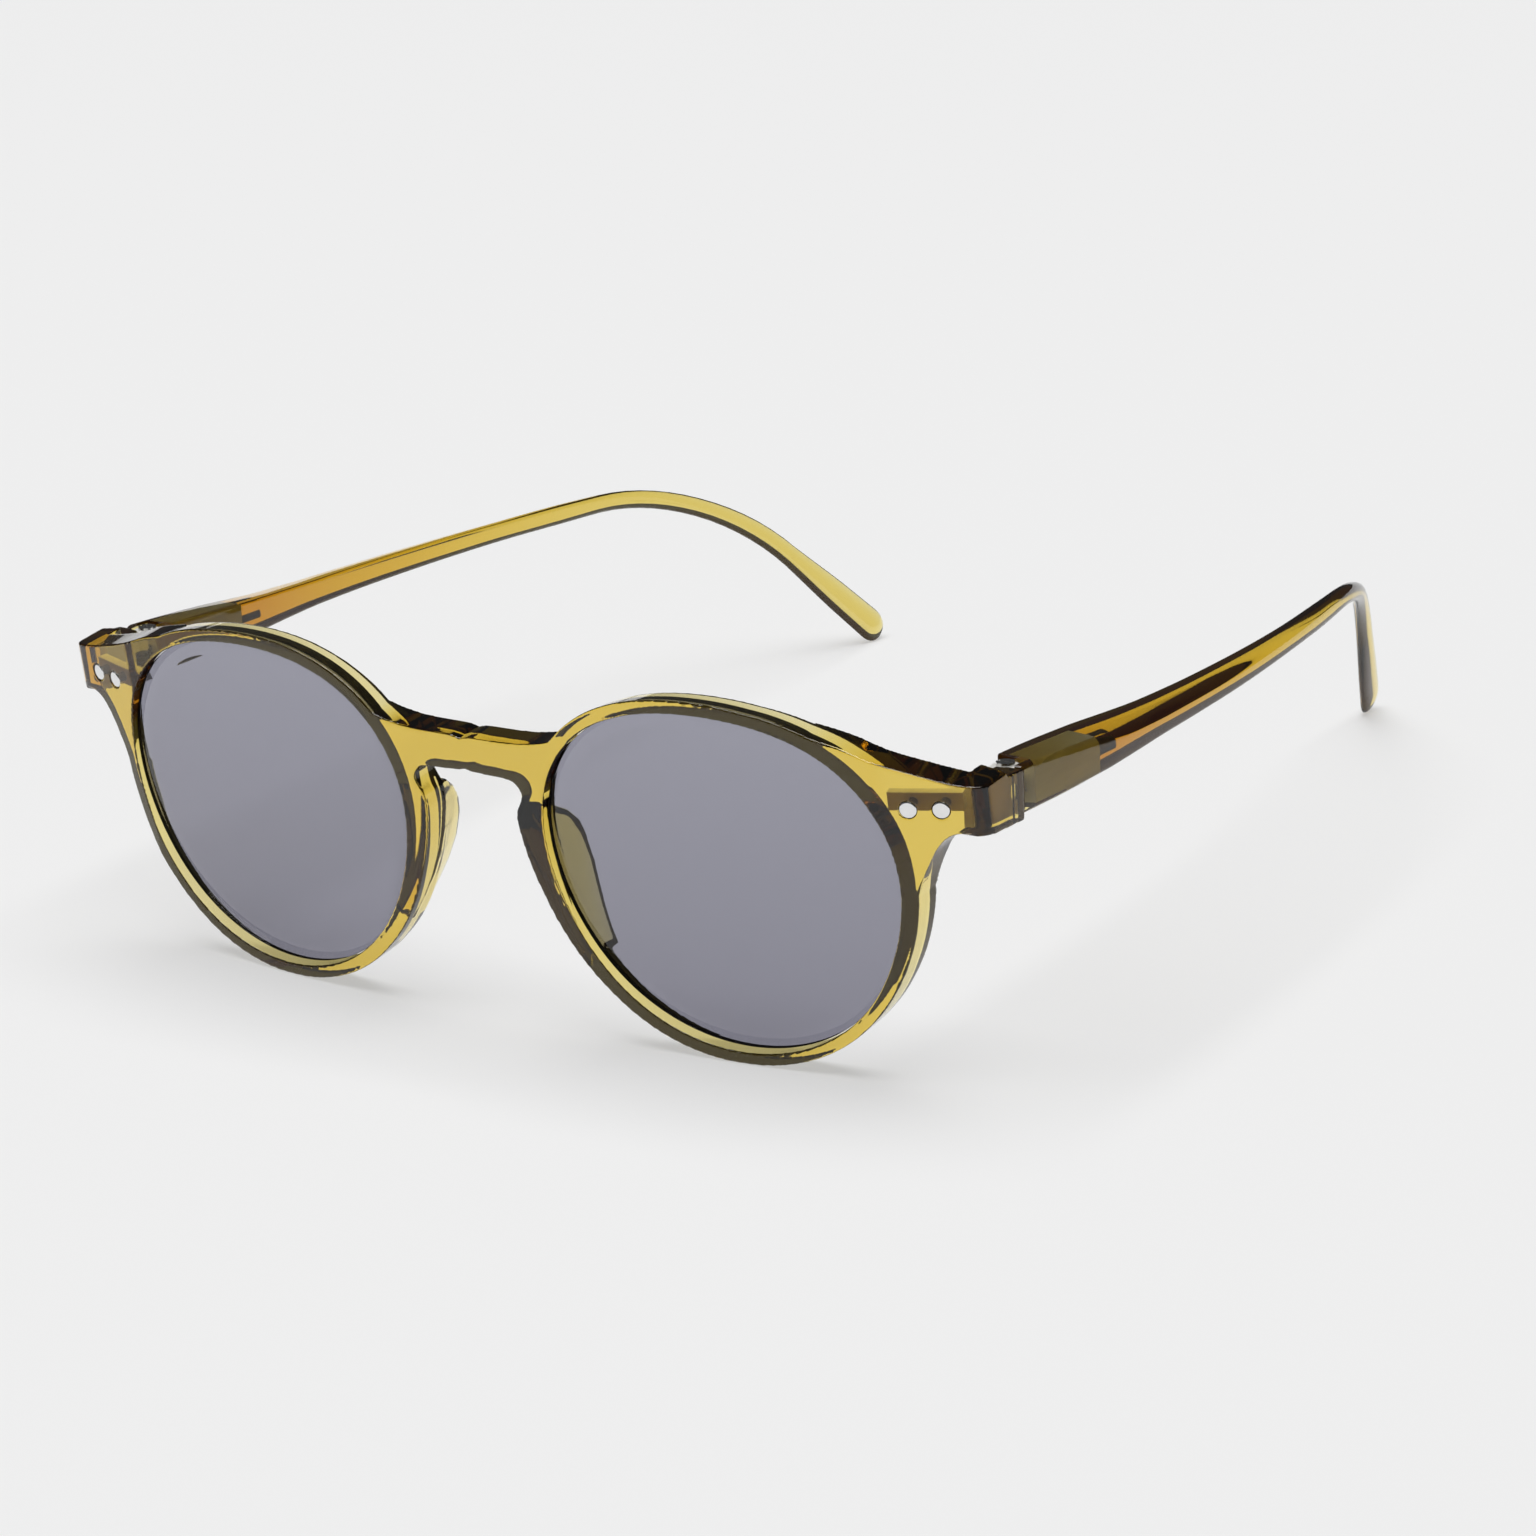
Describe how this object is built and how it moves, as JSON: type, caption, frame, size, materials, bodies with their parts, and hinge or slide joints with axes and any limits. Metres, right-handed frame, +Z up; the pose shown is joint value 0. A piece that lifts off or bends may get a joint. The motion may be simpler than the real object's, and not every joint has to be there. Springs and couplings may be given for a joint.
{
  "type": "sunglasses",
  "caption": "Round sunglasses with a keyhole bridge, moulded nose pads, tinted lenses in rim grooves, and temples that fold on sprung metal hinges and hook behind the ears.",
  "frame": {"origin": "middle of the footprint, on the surface that the glasses stand on", "axes": "+X towards the side that the node names call right, seen in the picture at the right; +Y back from the front along the temples; +Z up"},
  "size_m": [0.1396, 0.1498, 0.0472],
  "materials": {
    "front_plastic": "polished, translucent honey olive",
    "temple_plastic": "polished, translucent honey olive",
    "lens_tint": "polished grey tinted plastic, see-through",
    "pin_metal": "polished round heads",
    "hinge_metal": "bright, lightly brushed",
    "screw_metal": "turned, slotted head",
    "slide_metal": "bright, lightly brushed",
    "spring_wire": "drawn spring wire",
    "stop_brass": "turned",
    "box_metal": "dull grey, seen dark through the plastic",
    "plug_metal": "turned"
  },
  "bodies": {
    "front": {"front_frame": "front_plastic", "lens_right": "lens_tint", "lens_left": "lens_tint", "front_pins_right": "pin_metal", "front_pins_left": "pin_metal", "front_hinge_right": "hinge_metal", "front_hinge_left": "hinge_metal", "hinge_screw_right": "screw_metal", "hinge_screw_left": "screw_metal"},
    "slide_right": {"spring_slide_right": "slide_metal", "spring_stop_right": "stop_brass", "hinge_spring_right": "spring_wire"},
    "slide_left": {"spring_slide_left": "slide_metal", "spring_stop_left": "stop_brass", "hinge_spring_left": "spring_wire"},
    "arm_right": {"temple_right": "temple_plastic", "spring_box_right": "box_metal", "box_plug_right": "plug_metal"},
    "arm_left": {"temple_left": "temple_plastic", "spring_box_left": "box_metal", "box_plug_left": "plug_metal"}
  },
  "joints": [
    {"name": "fold_right", "type": "hinge", "parent": "front", "child": "slide_right", "pos_m": [0.06631, -0.05609, 0.03533], "axis": [0, 0.0595, 0.9982], "range_deg": [0, 62]},
    {"name": "fold_left", "type": "hinge", "parent": "front", "child": "slide_left", "pos_m": [-0.06631, -0.05609, 0.03533], "axis": [0, -0.0595, -0.9982], "range_deg": [0, 80]},
    {"name": "pull_right", "type": "slide", "parent": "slide_right", "child": "arm_right", "axis": [0, 0.9982, -0.0595], "range_m": [0, 0.002], "stiffness_N_per_m": 500, "springref_m": -0.003, "deforming": ["hinge_spring_right"]},
    {"name": "pull_left", "type": "slide", "parent": "slide_left", "child": "arm_left", "axis": [0, 0.9982, -0.0595], "range_m": [0, 0.002], "stiffness_N_per_m": 500, "springref_m": -0.003, "deforming": ["hinge_spring_left"]}
  ]
}
